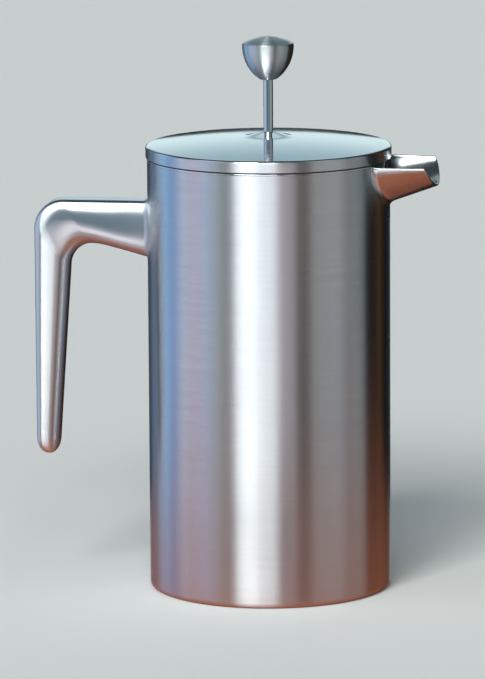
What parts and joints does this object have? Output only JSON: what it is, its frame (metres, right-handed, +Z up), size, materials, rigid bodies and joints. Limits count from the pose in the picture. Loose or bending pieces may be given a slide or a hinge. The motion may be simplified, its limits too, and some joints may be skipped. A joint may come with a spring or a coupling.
{
  "type": "french press",
  "caption": "Double-walled steel coffee press: brushed cylinder body with V-shaped pouring spout, open-ended side handle, lift-off domed lid and sliding plunger with filter stack.",
  "frame": {"origin": "centre of the flat base, on the axis of the body", "axes": "+Z up along the body's axis, +X towards the spout, -X towards the handle"},
  "size_m": [0.1683, 0.1012, 0.2291],
  "materials": {
    "brushed_body": "brushed round the body",
    "inner_steel": "fine satin",
    "spout_steel": "polished",
    "handle_steel": "satin polished",
    "seal": "matt",
    "lid_steel": "polished top, brushed band",
    "bright_steel": "polished",
    "knob_steel": "spun",
    "filter_steel": "pressed sheet",
    "screen_wire": "woven wire",
    "fastener_steel": "turned"
  },
  "bodies": {
    "vessel": {"outer_shell": "brushed_body", "base_plate": "brushed_body", "inner_vessel": "inner_steel", "spout": "spout_steel", "handle": "handle_steel"},
    "seal_ring": {"lid_seal": "seal"},
    "lid": {"lid_cap": "lid_steel", "lid_liner": "inner_steel", "lid_skirt": "inner_steel"},
    "guide_bush": {"rod_bush": "bright_steel"},
    "plunger": {"plunger_rod": "bright_steel", "knob_bowl": "knob_steel", "knob_cap": "knob_steel", "knob_insert": "inner_steel", "upper_hub": "bright_steel", "spring_plate": "filter_steel", "edge_coil": "bright_steel", "mesh_screen": "screen_wire", "screen_rim": "filter_steel", "cross_plate": "filter_steel", "lock_washer": "fastener_steel", "bottom_nut": "fastener_steel"}
  },
  "joints": [
    {"name": "lid_lift", "type": "slide", "parent": "vessel", "child": "seal_ring", "axis": [0, 0, 1], "range_m": [0, 0.2]},
    {"name": "lid_turn", "type": "hinge", "parent": "seal_ring", "child": "lid", "pos_m": [0, 0, 0.18], "axis": [0, 0, 1], "continuous": true},
    {"name": "plunger_turn", "type": "hinge", "parent": "lid", "child": "guide_bush", "pos_m": [0, 0, 0.185], "axis": [0, 0, 1], "continuous": true},
    {"name": "plunger_slide", "type": "slide", "parent": "guide_bush", "child": "plunger", "axis": [0, 0, 1], "range_m": [0, 0.155]}
  ]
}
